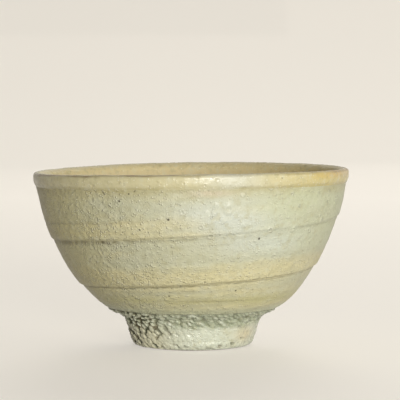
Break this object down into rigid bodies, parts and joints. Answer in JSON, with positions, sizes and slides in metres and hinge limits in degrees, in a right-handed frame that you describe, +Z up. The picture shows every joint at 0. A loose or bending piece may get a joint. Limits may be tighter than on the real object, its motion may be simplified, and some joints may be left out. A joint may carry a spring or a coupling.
{
  "type": "tea bowl",
  "caption": "Wheel-thrown stoneware tea bowl with a spiral throwing ridge, flared lip and crawled glaze round a narrow foot ring, for whisking and drinking tea.",
  "frame": {"origin": "under the centre of the mouth, level with the foot ring's resting face, at the bottom of the bowl", "axes": "+Z up through the mouth, -Y towards the picture's viewer, +X to the viewer's right"},
  "size_m": [0.145, 0.145, 0.0821],
  "materials": {
    "clay": "unglazed sandy stoneware, matte",
    "ash_glaze": "semi-matte grey-green ash glaze, finely pitted, with iron specks",
    "rim_glaze": "thin warm glaze over the lip, toasted brown at its edge",
    "crawled_glaze": "thick whitish glaze, crawled into beads"
  },
  "bodies": {
    "root": {"thrown_bowl": "clay", "foot_ring": "clay", "outer_glaze": "ash_glaze", "rim_glaze": "rim_glaze", "liner_glaze": "ash_glaze", "foot_glaze": "crawled_glaze", "well_glaze": "crawled_glaze"}
  },
  "joints": []
}
